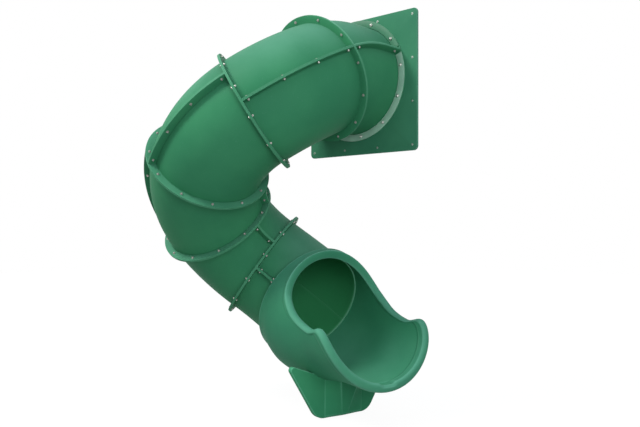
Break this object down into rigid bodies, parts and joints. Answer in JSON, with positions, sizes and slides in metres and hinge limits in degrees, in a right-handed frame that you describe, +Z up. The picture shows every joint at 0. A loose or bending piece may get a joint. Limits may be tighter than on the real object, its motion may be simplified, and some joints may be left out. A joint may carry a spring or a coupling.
{
  "type": "spiral tube slide",
  "caption": "Enclosed spiral tube slide of bolted half-shell elbows, with a square entrance panel at the top and an open scoop on a splayed foot at the exit.",
  "frame": {"origin": "middle of the entrance opening, in the back plane of the mounting panel, which lies on the tower's wall", "axes": "+Z up; +Y into the tower, square to the panel; +X to the right for someone facing the tower from outside"},
  "size_m": [1.504, 1.2886, 2.259],
  "materials": {
    "slide_green": "moulded polyethylene, coloured through, satin to matt",
    "panel_green": "flat sheet plastic, fine matt texture",
    "ring_paint": "pale green painted steel strip",
    "zinc": "zinc plated, dull"
  },
  "bodies": {
    "root": {"collar_screw_1": "zinc", "collar_screw_2": "zinc", "collar_screw_3": "zinc", "elbow_1_lower": "slide_green", "elbow_1_upper": "slide_green", "elbow_2_lower": "slide_green", "elbow_2_upper": "slide_green", "elbow_3_lower": "slide_green", "elbow_3_upper": "slide_green", "elbow_4_lower": "slide_green", "elbow_4_upper": "slide_green", "elbow_5_lower": "slide_green", "elbow_5_upper": "slide_green", "entry_lower": "slide_green", "entry_upper": "slide_green", "exit_foot": "slide_green", "exit_scoop": "slide_green", "foot_screw_1": "zinc", "foot_screw_2": "zinc", "mount_bolt_01": "zinc", "mount_bolt_02": "zinc", "mount_bolt_03": "zinc", "mount_bolt_04": "zinc", "mount_bolt_05": "zinc", "mount_bolt_06": "zinc", "mount_bolt_07": "zinc", "mount_bolt_08": "zinc", "mount_bolt_09": "zinc", "mount_bolt_10": "zinc", "mount_bolt_11": "zinc", "mount_bolt_12": "zinc", "mount_ring_lower": "ring_paint", "mount_ring_upper": "ring_paint", "mounting_panel": "panel_green", "panel_screw_01": "zinc", "panel_screw_02": "zinc", "panel_screw_03": "zinc", "panel_screw_04": "zinc", "panel_screw_05": "zinc", "panel_screw_06": "zinc", "panel_screw_07": "zinc", "panel_screw_08": "zinc", "panel_screw_09": "zinc", "panel_screw_10": "zinc"}
  },
  "joints": []
}
